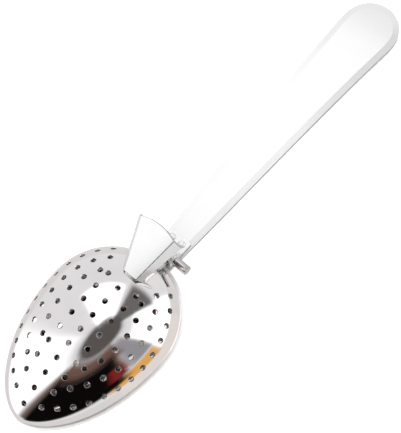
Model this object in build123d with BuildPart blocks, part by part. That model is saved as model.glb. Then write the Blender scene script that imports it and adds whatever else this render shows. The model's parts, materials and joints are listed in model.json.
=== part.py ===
"""Hinged tea infuser spoon: a perforated bowl on a handle, and a perforated lid with a thumb lever.

Millimetres. +X runs along the spoon to the handle's end, +Z is up, and the hinge pin's head is on the -Y side.
Every piece is drawn with the bowl's rim level in the XY plane, and is then tipped by RESTING, so that the
bowl's belly and the handle's end both lie on the table at Z = 0. The origin is under the middle of the spoon.
"""

from build123d import *

import os
from math import asin, cos, degrees, hypot, radians, sin, tan

os.makedirs("parts", exist_ok=True)

# --- Whole spoon
SPOON_LENGTH = 155.0
SHEET = 0.6  # wall of the bowl and the lid
END_X = SPOON_LENGTH / 2
BOWL_X = -39.2  # middle of the round rear half of the bowl

# --- Egg outline in plan, out to the bowl's rim flange
HALF_WIDTH = 21.1  # also the radius of the round rear half
NOSE_REACH = END_X + BOWL_X  # from the middle of the rear half to the nose
SIDE_PULL = 25.5  # how far the long sides stay wide
NOSE_PULL = 7.5  # how blunt the nose is

# --- Bowl and lid
FLANGE_WIDTH = 1.0
BOWL_DEPTH = 12.0
LID_INSET = 0.8  # from the flange's edge in to the lid's edge
LID_HEIGHT = 11.0
SEAT_GAP = 0.08  # between the shut lid and the bowl's rim

# --- Punched holes, in rings that echo the outline and in rows along the middle
HOLE_RADIUS = 0.8
PUNCH_LENGTH = 5.0
RING_X = BOWL_X - 4.2  # where the rings are widest
# For each ring: nose reach, tail reach, half-width, first hole's way from the nose, pitch, holes each side
RINGS = (
    (27.6, 23.6, 18.5, 5.0, 4.36, 13),
    (21.8, 20.3, 15.0, 9.3, 4.7, 9),
    (17.2, 16.6, 11.0, 10.3, 4.88, 6),
)
# For each row: place of the hole nearest the handle, from BOWL_X, place across, pitch, holes
ROWS = ((6.8, 0.0, 4.97, 9), (8.4, 5.2, 4.85, 8), (8.4, -5.2, 4.85, 8))

# --- Handle
THICKNESS = 1.8
NECK_HALF = 3.8
END_HALF = 8.5
SHOULDER_X = 67.0  # where the straight sides turn into the rounded end
BEVEL_START_X = -9.3
BEVEL_WIDTH = 1.8
BEVEL_DEPTH = 0.45
END_DROP = 2.2  # of the handle's end below the rim's plane

# --- Hinge
PIN_X = -15.9
PIN_Z = 3.2
PIN_RADIUS = 0.9
PIN_CLEARANCE = 0.04
HEAD_RADIUS = 1.35
HEAD_START = 4.5  # from the middle plane to the head and to the cap
HEAD_LENGTH = 4.7
CAP_BORE = 3.2
EYE_RADIUS = 1.45
BOSS_RADIUS = 1.2
SADDLE_SHEET = 0.7
SADDLE_X = (-17.9, -9.3)
YOKE_SHEET = 0.7
YOKE_HALF = 2.9
RIVET_X = -11.0
RIVET_Y = 1.8
RIVET_RADIUS = 0.7
RIVET_HEAD = (1.1, 0.45)  # radius and height

# --- Return spring, wound on the pin between the yoke's arms
WIRE_RADIUS = 0.25
COIL_RADIUS = 1.5
COIL_PITCH = 0.55
COIL_TURNS = 5.21
COIL_START_Y = -1.75
LOWER_LEG = (3.0, 14.5)  # length, and fall towards the saddle in degrees
UPPER_LEG = 10.2

# --- Thumb lever, a fan of folded sheet that rises towards the handle
LEVER_FRONT = (-27.6, 10.0)
LEVER_SLOPE = 30.9
LEVER_LENGTH = 17.1
LEVER_SHEET = 0.8
LEVER_FRONT_HALF = 2.2
LEVER_FLARE = 0.238  # half-width gained for each unit of length
TAIL_RADIUS = 13.5
SIDE_OUT = (1.3, 2.3)  # side fold's reach outwards, at the front and at the tail
SIDE_DOWN = (1.5, 2.6)


def resting_location():
    """The tip, lift and shift that lay the bowl's belly and the handle's end on the table, about the origin."""
    belly_half = HALF_WIDTH - FLANGE_WIDTH
    tilt = 0.0
    for _ in range(6):
        belly = hypot(belly_half * sin(tilt), BOWL_DEPTH * cos(tilt))
        tilt = asin((belly - (END_DROP + THICKNESS) * cos(tilt)) / (END_X - BOWL_X))
    lift = belly + BOWL_X * sin(tilt)
    shift = (END_DROP + SHEET) * sin(tilt) / 2
    return Location((shift, 0, lift), (0, degrees(tilt), 0))


RESTING = resting_location()


def finish(builder, name):
    """Tip a piece to its resting place, name it and write it."""
    builder.part = builder.part.moved(RESTING)
    builder.part.label = name
    export_step(builder.part, f"parts/{name}.step")


def egg_half(inset):
    """Half of the egg outline, on the +Y side, drawn in by inset."""
    width = HALF_WIDTH - inset
    nose = -(NOSE_REACH - inset)
    with BuildSketch(Plane((BOWL_X, 0, 0))) as half:
        with BuildLine():
            Bezier(
                (nose, 0),
                (nose, NOSE_PULL - 0.6 * inset),
                (0.5 * inset - SIDE_PULL, width),
                (0, width),
            )
            CenterArc((0, 0), width, 0, 90)
            Line((width, 0), (nose, 0))
        make_face()
    return half.sketch


def egg_body(inset, height):
    """A closed egg-shaped body about the rim plane, with elliptical sections of that half height."""
    with BuildPart() as body:
        add(egg_half(inset))
        revolve(axis=Axis.X)
        scale(by=(1, 1, height / (HALF_WIDTH - inset)))
    return body.part


def hole_places():
    """Plan positions of the punched holes."""
    places = [(BOWL_X + x - i * pitch, y) for x, y, pitch, count in ROWS for i in range(count)]
    for nose, tail, half, first, pitch, count in RINGS:
        with BuildLine(Plane((RING_X, 0, 0))) as ring:
            Bezier((-nose, 0), (-nose, half / 2), (-nose / 2, half), (0, half))
            EllipticalCenterArc((0, 0), tail, half, start_angle=90, arc_size=-90)
        ring_wire = ring.wire()
        if ring_wire.position_at(0).Y > 1:
            ring_wire = Wire([edge.reversed() for edge in ring_wire.edges()])
        for i in range(count):
            point = ring_wire.position_at(first + i * pitch, PositionMode.LENGTH)
            places += [(point.X, point.Y), (point.X, -point.Y)]
    return places


def punches(surface, upward):
    """Planes that sit on a surface at each hole and face out of it."""
    planes = []
    for x, y in hole_places():
        met = surface.find_intersection_points(Axis((x, y, 0), (0, 0, 1)))
        point, normal = max(met, key=lambda pair: pair[0].Z if upward else -pair[0].Z)
        planes.append(Plane(origin=point, z_dir=normal))
    return planes


lid_outer = egg_body(LID_INSET, LID_HEIGHT)
lid_inner = egg_body(LID_INSET + SHEET, LID_HEIGHT - SHEET)
bowl_outer = egg_body(FLANGE_WIDTH, BOWL_DEPTH)
bowl_inner = egg_body(FLANGE_WIDTH + SHEET, BOWL_DEPTH - SHEET)

# --- Lower bowl: a half egg with a narrow flange turned out round its rim
with BuildPart() as bowl_blank:
    add(bowl_outer)
    split(bisect_by=Plane.XY, keep=Keep.BOTTOM)
    with BuildSketch(Plane.XY.offset(-SHEET)):
        add(egg_half(0))
        mirror(about=Plane.XZ)
    extrude(amount=SHEET)

with BuildPart() as lower_bowl:
    add(bowl_outer)
    add(bowl_inner, mode=Mode.SUBTRACT)
    split(bisect_by=Plane.XY.offset(-SHEET / 2), keep=Keep.BOTTOM)
    with Locations(punches(bowl_outer, upward=False)):
        Cylinder(HOLE_RADIUS, PUNCH_LENGTH, mode=Mode.SUBTRACT)
    with BuildSketch():
        for inset, mode in ((0, Mode.ADD), (FLANGE_WIDTH + SHEET, Mode.SUBTRACT)):
            outline = egg_half(inset)
            add(outline + mirror(outline, about=Plane.XZ, mode=Mode.PRIVATE), mode=mode)
    extrude(amount=-SHEET)
finish(lower_bowl, "lower_bowl")

# --- Lid: a half egg, open below, whose edge rests on the bowl's rim
with BuildPart() as lid:
    add(lid_outer)
    add(lid_inner, mode=Mode.SUBTRACT)
    split(bisect_by=Plane.XY.offset(SEAT_GAP), keep=Keep.TOP)
    with Locations(punches(lid_outer, upward=True)):
        Cylinder(HOLE_RADIUS, PUNCH_LENGTH, mode=Mode.SUBTRACT)
finish(lid, "lid")

# --- Handle: an arched strip that widens from the neck to a rounded end, bevelled along its top edges
rivet_places = [(RIVET_X, y, 0) for y in (-RIVET_Y, RIVET_Y)]
neck_front_x = BOWL_X + HALF_WIDTH - 3 * FLANGE_WIDTH

with BuildPart() as spoon_handle:
    with BuildSketch(Plane.XZ):
        with BuildLine():
            top = Bezier((BEVEL_START_X, 0), (20, 0), (50, 2.8), (END_X, -END_DROP))
            Line(top @ 1, top @ 1 - Vector(0, THICKNESS))
            under = Bezier(
                (BEVEL_START_X, -THICKNESS),
                (20, -THICKNESS),
                (50, 2.8 - THICKNESS),
                (END_X, -END_DROP - THICKNESS),
            )
            Line(under @ 0, top @ 0)
        make_face()
    extrude(amount=2 * END_HALF, both=True)
    with BuildSketch(Plane.XY.offset(-10)):
        with BuildLine():
            side = Line((neck_front_x, NECK_HALF), (SHOULDER_X, END_HALF))
            Bezier(side @ 1, side @ 1 + 5.5 * (side % 1), (END_X, END_HALF * 0.62), (END_X, 0))
            Line((neck_front_x, 0), (neck_front_x, NECK_HALF))
            mirror(about=Plane.XZ)
        make_face()
    extrude(amount=20, mode=Mode.INTERSECT)
    top_face = max(spoon_handle.faces(), key=lambda face: face.area * face.normal_at().Z)
    long_edges = top_face.edges().filter_by(lambda edge: edge.length > 60)
    chamfer(long_edges, length=BEVEL_WIDTH, length2=BEVEL_DEPTH, reference=top_face)
    with BuildSketch(Plane.XY):
        with BuildLine():
            neck_back_half = NECK_HALF + (BEVEL_START_X - neck_front_x) * (side % 0).Y / (side % 0).X
            Polyline(
                (neck_front_x, 0),
                (neck_front_x, NECK_HALF),
                (BEVEL_START_X, neck_back_half),
                (BEVEL_START_X, 0),
            )
            mirror(about=Plane.XZ)
        make_face()
    extrude(amount=-THICKNESS)
    add(bowl_blank.part, mode=Mode.SUBTRACT)
    with Locations(rivet_places):
        Cylinder(RIVET_RADIUS, 10, mode=Mode.SUBTRACT)
finish(spoon_handle, "spoon_handle")

# --- Hinge bracket: a saddle on the neck, whose two ears hold the pin
PIN = Plane(origin=(PIN_X, 0, PIN_Z), x_dir=(1, 0, 0), z_dir=(0, -1, 0))

with BuildPart() as hinge_bracket:
    with BuildSketch(Plane.XZ) as saddle_side:
        with Locations((PIN_X, PIN_Z)):
            Circle(EYE_RADIUS)
        with BuildLine():
            Polyline(
                (SADDLE_X[0], 0),
                (SADDLE_X[0], SADDLE_SHEET),
                (PIN_X - EYE_RADIUS, PIN_Z),
                (PIN_X + EYE_RADIUS, PIN_Z),
                (PIN_X + 2 * EYE_RADIUS, SADDLE_SHEET),
                (SADDLE_X[1], SADDLE_SHEET),
                (SADDLE_X[1], 0),
                close=True,
            )
        make_face()
    extrude(amount=NECK_HALF, both=True)
    with BuildSketch(Plane.XZ):
        with Locations((PIN_X, SADDLE_SHEET)):
            Rectangle(20, 20, align=(Align.CENTER, Align.MIN))
    extrude(amount=NECK_HALF - SADDLE_SHEET, both=True, mode=Mode.SUBTRACT)
    for way in (1, -1):
        with BuildSketch(PIN.offset(way * NECK_HALF)):
            Circle(BOSS_RADIUS)
        extrude(amount=way * (HEAD_START - NECK_HALF))
    with BuildSketch(PIN):
        Circle(PIN_RADIUS)
    extrude(amount=2 * HEAD_START, both=True, mode=Mode.SUBTRACT)
    with Locations(rivet_places):
        Cylinder(RIVET_RADIUS, 10, mode=Mode.SUBTRACT)
finish(hinge_bracket, "hinge_bracket")

# --- Bracket rivets: two alike, through the saddle and the neck
with BuildPart() as bracket_rivets:
    with BuildSketch(Plane.XY.offset(-THICKNESS)):
        with Locations(rivet_places):
            Circle(RIVET_RADIUS)
    extrude(amount=THICKNESS + SADDLE_SHEET)
    with BuildSketch(Plane.XY.offset(SADDLE_SHEET)):
        with Locations(rivet_places):
            Circle(RIVET_HEAD[0])
    extrude(amount=RIVET_HEAD[1])
    fillet(bracket_rivets.edges().group_by(Axis.Z)[-1], 0.6 * RIVET_HEAD[1])
finish(bracket_rivets, "bracket_rivets")

# --- Hinge pin, with a long head on the -Y side, and the cap pressed on its other end
with BuildPart() as hinge_pin:
    with BuildSketch(PIN.offset(-HEAD_START - CAP_BORE)):
        Circle(PIN_RADIUS)
    extrude(amount=2 * HEAD_START + CAP_BORE)
    with BuildSketch(PIN.offset(HEAD_START)):
        Circle(HEAD_RADIUS)
    extrude(amount=HEAD_LENGTH)
    chamfer(hinge_pin.edges().group_by(Axis.Y)[0], 0.15)
finish(hinge_pin, "hinge_pin")

with BuildPart() as pin_cap:
    with BuildSketch(PIN.offset(-HEAD_START)):
        Circle(HEAD_RADIUS)
    extrude(amount=-HEAD_LENGTH)
    chamfer(pin_cap.edges().group_by(Axis.Y)[-1], 0.15)
    with BuildSketch(PIN.offset(-HEAD_START)):
        Circle(PIN_RADIUS)
    extrude(amount=-CAP_BORE, mode=Mode.SUBTRACT)
finish(pin_cap, "pin_cap")

# --- Return spring: a coil round the pin, one leg on the saddle and one under the lever
with BuildPart() as return_spring:
    with BuildLine() as wire_line:
        coil = Helix(COIL_PITCH, COIL_PITCH * COIL_TURNS, COIL_RADIUS)
        Line(coil @ 0 - LOWER_LEG[0] * (coil % 0), coil @ 0)
        Line(coil @ 1, coil @ 1 + UPPER_LEG * (coil % 1))
    spring_wire = wire_line.wire()
    with BuildSketch(Plane(origin=spring_wire @ 0, z_dir=spring_wire % 0)):
        Circle(WIRE_RADIUS)
    sweep(path=spring_wire, is_frenet=True)
coil_start = Plane(
    origin=(PIN_X, COIL_START_Y, PIN_Z),
    x_dir=(-sin(radians(LOWER_LEG[1])), 0, -cos(radians(LOWER_LEG[1]))),
    z_dir=(0, 1, 0),
)
return_spring.part = return_spring.part.moved(coil_start.location)
finish(return_spring, "return_spring")

# --- Thumb lever: a fan with a fold down each side, and a lip at the front that meets the lid
slope = radians(LEVER_SLOPE)
LEVER = Plane(
    origin=(LEVER_FRONT[0], 0, LEVER_FRONT[1]),
    x_dir=(cos(slope), 0, sin(slope)),
    z_dir=(-sin(slope), 0, cos(slope)),
)


def lever_section(along, out, down):
    """The folded sheet's cross-section at a distance along the lever."""
    half = LEVER_FRONT_HALF + LEVER_FLARE * along
    length = hypot(out, down)
    skin = (LEVER_SHEET * down / length, LEVER_SHEET * out / length)
    corner = LEVER_SHEET * out / (length + down) * down / out
    at = Plane(origin=LEVER.from_local_coords((along, 0, 0)), x_dir=(0, 1, 0), z_dir=LEVER.x_dir)
    with BuildSketch(at) as section:
        with BuildLine():
            Polyline(
                (0, 0),
                (half, 0),
                (half + out, -down),
                (half + out - skin[0], -down - skin[1]),
                (half - corner, -LEVER_SHEET),
                (0, -LEVER_SHEET),
            )
            mirror(about=Plane.YZ)
        make_face()
    return section.sketch


with BuildPart() as thumb_lever:
    add(lever_section(0, SIDE_OUT[0], SIDE_DOWN[0]))
    add(lever_section(LEVER_LENGTH, SIDE_OUT[1], SIDE_DOWN[1]))
    loft(ruled=True)
    with BuildSketch(LEVER.offset(-10)):
        with Locations((LEVER_LENGTH - TAIL_RADIUS, 0)):
            Circle(TAIL_RADIUS)
    extrude(amount=20, mode=Mode.INTERSECT)
    with BuildSketch(LEVER.offset(-LEVER_SHEET)):
        with Locations((LEVER_SHEET / 2, 0)):
            Rectangle(LEVER_SHEET, 2 * LEVER_FRONT_HALF)
    extrude(amount=-2.5)
    add(lid_outer, mode=Mode.SUBTRACT)
finish(thumb_lever, "thumb_lever")

# --- Lid yoke: two arms from the pin to the lever, joined by a web under it and resting on the lid
LEVER_UNDER = LEVER_FRONT[1] - LEVER_SHEET / cos(slope)  # height of the lever's underside at its front
YOKE_FRONT_X = -23.4


def under_lever(x, below=0.0):
    """A point on the lever's underside, in side view, or that far below it."""
    return (x, LEVER_UNDER + (x - LEVER_FRONT[0]) * tan(slope) - below / cos(slope))


with BuildPart() as lid_yoke:
    with BuildSketch(Plane.XZ):
        with Locations((PIN_X, PIN_Z)):
            Circle(EYE_RADIUS)
        with BuildLine():
            Polyline(
                (PIN_X + EYE_RADIUS, PIN_Z),
                under_lever(PIN_X + EYE_RADIUS),
                under_lever(YOKE_FRONT_X),
                (YOKE_FRONT_X, 4.0),
                (PIN_X - 3.5, 2.2),
                (PIN_X - EYE_RADIUS / 2, PIN_Z - 0.866 * EYE_RADIUS),
                close=True,
            )
        make_face()
    extrude(amount=YOKE_HALF, both=True)
    with BuildSketch(Plane.XZ):
        with BuildLine():
            Polyline(
                under_lever(PIN_X + 9, YOKE_SHEET),
                under_lever(YOKE_FRONT_X - 9, YOKE_SHEET),
                (YOKE_FRONT_X - 9, -5),
                (PIN_X + 9, -5),
                close=True,
            )
        make_face()
    extrude(amount=YOKE_HALF - YOKE_SHEET, both=True, mode=Mode.SUBTRACT)
    add(lid_outer, mode=Mode.SUBTRACT)
    with BuildSketch(PIN):
        Circle(PIN_RADIUS + PIN_CLEARANCE)
    extrude(amount=2 * YOKE_HALF, both=True, mode=Mode.SUBTRACT)
finish(lid_yoke, "lid_yoke")
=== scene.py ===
"""Tea infuser spoon: polished steel shells, handle, lever, hinge and spring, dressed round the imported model.

Each piece is modelled in millimetres in the spoon's own frame, where the bowl's rim is level at Z = 0. It is
then settled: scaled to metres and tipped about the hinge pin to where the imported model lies.
"""

import json
import logging
import math
from dataclasses import dataclass, field
from enum import Enum
from typing import Callable

import bmesh
import bpy
from mathutils import Matrix, Vector


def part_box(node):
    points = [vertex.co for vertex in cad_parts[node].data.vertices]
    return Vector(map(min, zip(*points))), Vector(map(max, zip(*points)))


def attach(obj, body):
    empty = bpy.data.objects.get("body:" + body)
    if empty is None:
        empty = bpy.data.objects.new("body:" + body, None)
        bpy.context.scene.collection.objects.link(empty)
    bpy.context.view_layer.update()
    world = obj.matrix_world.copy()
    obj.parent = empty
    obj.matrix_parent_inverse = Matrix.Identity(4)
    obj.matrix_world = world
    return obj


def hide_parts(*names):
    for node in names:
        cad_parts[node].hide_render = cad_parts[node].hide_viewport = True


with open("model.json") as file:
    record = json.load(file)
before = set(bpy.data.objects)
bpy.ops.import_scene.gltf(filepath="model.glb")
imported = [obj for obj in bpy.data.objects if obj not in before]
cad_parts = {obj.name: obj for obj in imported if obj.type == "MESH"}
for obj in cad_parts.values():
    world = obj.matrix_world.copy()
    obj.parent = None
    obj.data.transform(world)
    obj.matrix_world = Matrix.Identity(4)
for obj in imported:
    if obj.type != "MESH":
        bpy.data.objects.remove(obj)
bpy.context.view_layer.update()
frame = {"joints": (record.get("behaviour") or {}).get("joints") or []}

LOG = logging.getLogger("tea_infuser")
MM = 0.001
DOUBLES = 1e-3
CURVE_STEPS = 200
ARC_STEPS = 100
Shape = bpy.types.Object
Triple = tuple[float, float, float]


class Part(Enum):
    """What a selection in edit mode picks."""

    VERT = "verts"
    EDGE = "edges"
    FACE = "faces"


class Body(Enum):
    """The two bodies that the hinge joins."""

    SPOON = "spoon"
    LID = "lid_assembly"


class Cut(Enum):
    """How one shape changes another."""

    AWAY = "DIFFERENCE"
    KEEP = "INTERSECT"
    JOIN = "UNION"


def at(x: float, y: float, z: float) -> Vector:
    """A dataclass field that starts as a vector."""
    return field(default_factory=lambda: Vector((x, y, z)))


def smooth_step(value: float) -> float:
    """An even ramp from 0 to 1 with soft ends."""
    value = min(max(value, 0.0), 1.0)
    return value * value * (3 - 2 * value)


def bezier(ends: tuple[Vector, Vector, Vector, Vector], share: float) -> Vector:
    """A point on a cubic curve.

    Args:
        ends: The curve's start, its two handles and its end.
        share: How far along the curve, from 0 to 1.

    Returns:
        The point.
    """
    rest = 1 - share
    weights = (rest**3, 3 * share * rest**2, 3 * share**2 * rest, share**3)
    return sum((weight * point for weight, point in zip(weights, ends)), Vector((0, 0, 0)))


def evenly(points: list[Vector], spacing: float) -> list[Vector]:
    """Points at even steps along a line, with its two ends kept.

    Args:
        points: The line's own points, close together.
        spacing: The step to aim for.

    Returns:
        The new points.
    """
    runs = [0.0]
    for here, there in zip(points, points[1:]):
        runs.append(runs[-1] + (there - here).length)
    count = max(2, round(runs[-1] / spacing))
    places, index = [], 0
    for step in range(count + 1):
        target = runs[-1] * step / count
        while index < len(points) - 2 and runs[index + 1] < target:
            index += 1
        length = runs[index + 1] - runs[index]
        places.append(points[index].lerp(points[index + 1], (target - runs[index]) / length))
    return places


def half_ring(ends: tuple[Vector, Vector, Vector, Vector], half: float, tail: float) -> list[Vector]:
    """One side of an egg-shaped line: a cubic curve to its widest place, then a quarter of an oval.

    Args:
        ends: The curve's start at the nose, its two handles and its end.
        half: Half of the line's width.
        tail: How far the oval reaches past the widest place.

    Returns:
        The line's points, closely spaced.
    """
    line = [bezier(ends, step / CURVE_STEPS) for step in range(CURVE_STEPS + 1)]
    for step in range(1, ARC_STEPS + 1):
        turn = math.pi / 2 * step / ARC_STEPS
        line.append(Vector((tail * math.sin(turn), half * math.cos(turn), 0)))
    return line


def eye(middle: Vector, radius: float, first: float, sweep: float, steps: int) -> list[Vector]:
    """Part of a circle in side view.

    Args:
        middle: The circle's middle.
        radius: Its radius.
        first: Where it starts, in degrees from +X towards +Z.
        sweep: How many degrees it goes round.
        steps: How many straight stretches it has.

    Returns:
        Its points in order.
    """
    turns = [math.radians(first + sweep * step / steps) for step in range(steps + 1)]
    return [middle + radius * Vector((math.cos(turn), 0, math.sin(turn))) for turn in turns]


class Bench:
    """The modelling steps that every piece is made with."""

    @staticmethod
    def clear() -> None:
        """Leave edit mode, with nothing selected."""
        if bpy.context.object and bpy.context.object.mode != "OBJECT":
            bpy.ops.object.mode_set(mode="OBJECT")
        bpy.ops.object.select_all(action="DESELECT")

    @staticmethod
    def take(shape: Shape) -> None:
        """Make a shape the only selected one, and the active one.

        Args:
            shape: The shape.
        """
        Bench.clear()
        shape.select_set(True)
        bpy.context.view_layer.objects.active = shape

    @staticmethod
    def added(name: str) -> Shape:
        """Name the shape that was just added, and keep its place in its mesh.

        Args:
            name: Its name.

        Returns:
            The shape.
        """
        shape = bpy.context.object
        shape.name = name
        bpy.ops.object.transform_apply(location=True, rotation=True, scale=True)
        return shape

    @staticmethod
    def edit(shape: Shape, action: str = "DESELECT") -> None:
        """Open a shape for editing.

        Args:
            shape: The shape.
            action: Whether its corners are all selected or all not.
        """
        Bench.take(shape)
        bpy.ops.object.mode_set(mode="EDIT")
        bpy.ops.mesh.select_mode(type="VERT")
        bpy.ops.mesh.select_all(action=action)

    @staticmethod
    def extrude(way: Vector | Triple) -> None:
        """Extrude what is selected."""
        bpy.ops.mesh.extrude_region_move(TRANSFORM_OT_translate={"value": way})

    @staticmethod
    def shift(way: Vector | Triple) -> None:
        """Move what is selected."""
        bpy.ops.transform.translate(value=way)

    @staticmethod
    def stretch(x: float, y: float, z: float, middle: Triple = (0, 0, 0)) -> None:
        """Scale what is selected along each axis."""
        bpy.ops.transform.resize(value=(x, y, z), center_override=middle)

    @staticmethod
    def pick(shape: Shape, part: Part, test: Callable) -> None:
        """Select in edit mode.

        Args:
            shape: The shape that is being edited.
            part: Whether corners, edges or faces are picked.
            test: Says whether one of them is picked.
        """
        bpy.ops.mesh.select_mode(type=part.name)
        bpy.ops.mesh.select_all(action="DESELECT")
        mesh = bmesh.from_edit_mesh(shape.data)
        for item in getattr(mesh, part.value):
            if test(item):
                item.select_set(True)
        mesh.select_flush_mode()
        bmesh.update_edit_mesh(shape.data)

    @staticmethod
    def close(shape: Shape) -> None:
        """Merge doubled corners, turn all faces outwards and leave edit mode.

        Args:
            shape: The shape that is being edited.
        """
        bpy.ops.mesh.select_mode(type="VERT")
        bpy.ops.mesh.select_all(action="SELECT")
        bpy.ops.mesh.remove_doubles(threshold=DOUBLES)
        bpy.ops.mesh.normals_make_consistent(inside=False)
        bpy.ops.object.mode_set(mode="OBJECT")
        shape.select_set(False)

    @staticmethod
    def chain(name: str, points: list[Vector], filled: bool = False) -> Shape:
        """Draw a line of edges, by extruding one corner from point to point.

        Args:
            name: The new shape's name.
            points: The line's corners in order.
            filled: Whether the line is closed and filled with a face.

        Returns:
            The new shape.
        """
        Bench.clear()
        bpy.ops.mesh.primitive_plane_add(size=1.0)
        shape = Bench.added(name)
        Bench.edit(shape, "SELECT")
        bpy.ops.mesh.merge(type="CENTER")
        Bench.shift(points[0])
        for here, there in zip(points, points[1:]):
            bpy.ops.mesh.extrude_vertices_move(TRANSFORM_OT_translate={"value": there - here})
        if filled:
            bpy.ops.mesh.select_all(action="SELECT")
            bpy.ops.mesh.edge_face_add()
        bpy.ops.object.mode_set(mode="OBJECT")
        return shape

    @staticmethod
    def block(name: str, points: list[Vector], depth: Vector) -> Shape:
        """A solid with a drawn outline.

        Args:
            name: The new shape's name.
            points: The outline's corners in order.
            depth: How far, and which way, the outline is extruded.

        Returns:
            The closed solid.
        """
        shape = Bench.chain(name, points, filled=True)
        Bench.edit(shape, "SELECT")
        Bench.extrude(depth)
        Bench.close(shape)
        return shape

    @staticmethod
    def plate(name: str, outline: list[Vector], half: float) -> Shape:
        """A solid with an outline drawn in side view, as far to one side of the middle as to the other."""
        side = Vector((0, half, 0))
        return Bench.block(name, [point - side for point in outline], 2 * side)

    @staticmethod
    def strip(name: str, *ends: Triple) -> Shape:
        """A flat sheet with four corners, left open for editing.

        Args:
            name: The new shape's name.
            ends: For its front and its tail, how far along it is, half of its width, and its height.

        Returns:
            The sheet.
        """
        Bench.clear()
        bpy.ops.mesh.primitive_plane_add(size=2.0)
        sheet = Bench.added(name)
        Bench.edit(sheet)
        for side, (x, half, height) in zip((-1, 1), ends):
            Bench.pick(sheet, Part.VERT, lambda corner, side=side: corner.co.x * side > 0.5)
            Bench.stretch(1, half, 1)
            Bench.shift((x - side, 0, height))
            bpy.ops.mesh.hide(unselected=False)
        bpy.ops.mesh.reveal(select=False)
        return sheet

    @staticmethod
    def cylinder(
        name: str, radius: float, depth: float, middle: Vector | Triple, sides: int, turn: Triple = (0, 0, 0)
    ) -> Shape:
        """A round bar.

        Args:
            name: The new shape's name.
            radius: The bar's radius.
            depth: Its length.
            middle: Its middle.
            sides: Corners round it.
            turn: How it is turned from upright.

        Returns:
            The bar, with its place in its mesh.
        """
        Bench.clear()
        bpy.ops.mesh.primitive_cylinder_add(
            vertices=sides, radius=radius, depth=depth, location=middle, rotation=turn
        )
        return Bench.added(name)

    @staticmethod
    def rod(name: str, radius: float, ends: tuple[float, float], place: Vector, sides: int = 48) -> Shape:
        """A round bar along Y.

        Args:
            name: The new shape's name.
            radius: The bar's radius.
            ends: Where it starts and ends along Y.
            place: A point on its axis.
            sides: Corners round it.

        Returns:
            The bar, with its place in its mesh.
        """
        middle = Vector((place.x, (ends[0] + ends[1]) / 2, place.z))
        return Bench.cylinder(name, radius, abs(ends[1] - ends[0]), middle, sides, (math.pi / 2, 0, 0))

    @staticmethod
    def slab(name: str, low: Vector, high: Vector) -> Shape:
        """A box-shaped cutter.

        Args:
            name: The new shape's name.
            low: Its lowest corner.
            high: Its highest corner.

        Returns:
            The box.
        """
        Bench.clear()
        bpy.ops.mesh.primitive_cube_add(size=1.0, location=(low + high) / 2, scale=high - low)
        return Bench.added(name)

    @staticmethod
    def finish_with(shape: Shape, kind: str, **settings: float | bool | str | Shape) -> None:
        """Add a modifier and apply it.

        Args:
            shape: The shape that it works on.
            kind: The modifier's type.
            settings: What it is set to.
        """
        Bench.take(shape)
        modifier = shape.modifiers.new(kind.lower(), kind)
        for name, value in settings.items():
            setattr(modifier, name, value)
        bpy.ops.object.modifier_apply(modifier=modifier.name)

    @staticmethod
    def cut(shape: Shape, tool: Shape, how: Cut = Cut.AWAY) -> None:
        """Change a shape with another, which is then thrown away."""
        Bench.finish_with(shape, "BOOLEAN", object=tool, operation=how.value, solver="MANIFOLD")
        bpy.data.objects.remove(tool)

    @staticmethod
    def soften(shape: Shape, width: float, segments: int = 3, angle: float = 40.0) -> None:
        """Round a shape's edges, and shade it smoothly.

        Args:
            shape: The shape.
            width: How far from an edge the rounding starts.
            segments: How many faces go round it.
            angle: By how much an edge has to turn, in degrees, to be rounded.
        """
        Bench.finish_with(
            shape,
            "BEVEL",
            width=width,
            segments=segments,
            limit_method="ANGLE",
            angle_limit=math.radians(angle),
            use_clamp_overlap=True,
        )
        Bench.shade(shape)

    @staticmethod
    def shade(shape: Shape, angle: float = 35.0) -> None:
        """Shade smoothly, except across edges that turn by more than an angle."""
        Bench.take(shape)
        bpy.ops.object.shade_smooth_by_angle(angle=math.radians(angle))

    @staticmethod
    def join(name: str, shapes: list[Shape]) -> Shape:
        """Join separate shapes into one object.

        Args:
            name: The object's name.
            shapes: The shapes.

        Returns:
            The first of them, which now holds them all.
        """
        Bench.take(shapes[0])
        for shape in shapes:
            shape.select_set(True)
        bpy.ops.object.join()
        shapes[0].name = name
        return shapes[0]

    @staticmethod
    def copy(shape: Shape) -> Shape:
        """Copy a shape and its mesh.

        Args:
            shape: The shape.

        Returns:
            The copy.
        """
        twin = shape.copy()
        twin.data = shape.data.copy()
        bpy.context.scene.collection.objects.link(twin)
        return twin


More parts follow.
